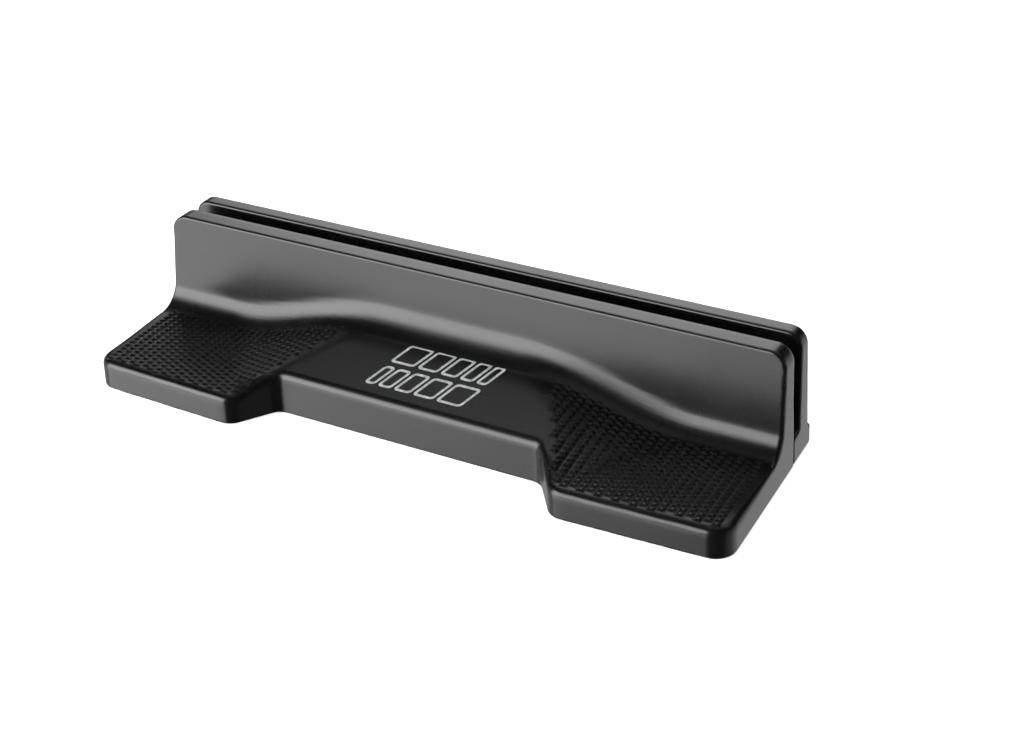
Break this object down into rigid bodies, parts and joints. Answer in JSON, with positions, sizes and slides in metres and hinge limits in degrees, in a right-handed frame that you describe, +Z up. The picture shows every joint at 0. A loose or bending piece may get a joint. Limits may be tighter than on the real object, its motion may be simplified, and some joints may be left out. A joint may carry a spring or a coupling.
{
  "type": "scraper sharpener",
  "caption": "Bench tool that guides a plastic scraper upright through a slot and over a flat file, with textured hand pads in front of tall guide walls.",
  "frame": {"origin": "middle of the footprint, on the bench surface under the rubber pads", "axes": "+X along the slot and the guide walls, -Y towards the hand pads and the notch, +Z up"},
  "size_m": [0.204, 0.065, 0.039],
  "materials": {
    "moulded_black": "satin black moulded plastic with a fine texture",
    "file_steel": "hardened steel with cut teeth",
    "soft_rubber": "matte black rubber",
    "coated_steel": "black powder coat",
    "zinc_steel": "bright zinc plate",
    "insert_brass": "turned brass",
    "pin_steel": "ground steel",
    "print_ink": "light grey printing ink"
  },
  "bodies": {
    "root": {"front_body": "moulded_black", "rear_guide": "moulded_black", "file": "file_steel", "file_cushion": "soft_rubber", "base_plate": "coated_steel", "front_screws": "zinc_steel", "rear_screws": "zinc_steel", "front_inserts": "insert_brass", "rear_inserts": "insert_brass", "locating_pins": "pin_steel", "front_left_pad": "soft_rubber", "front_right_pad": "soft_rubber", "rear_left_pad": "soft_rubber", "rear_right_pad": "soft_rubber"}
  },
  "joints": []
}
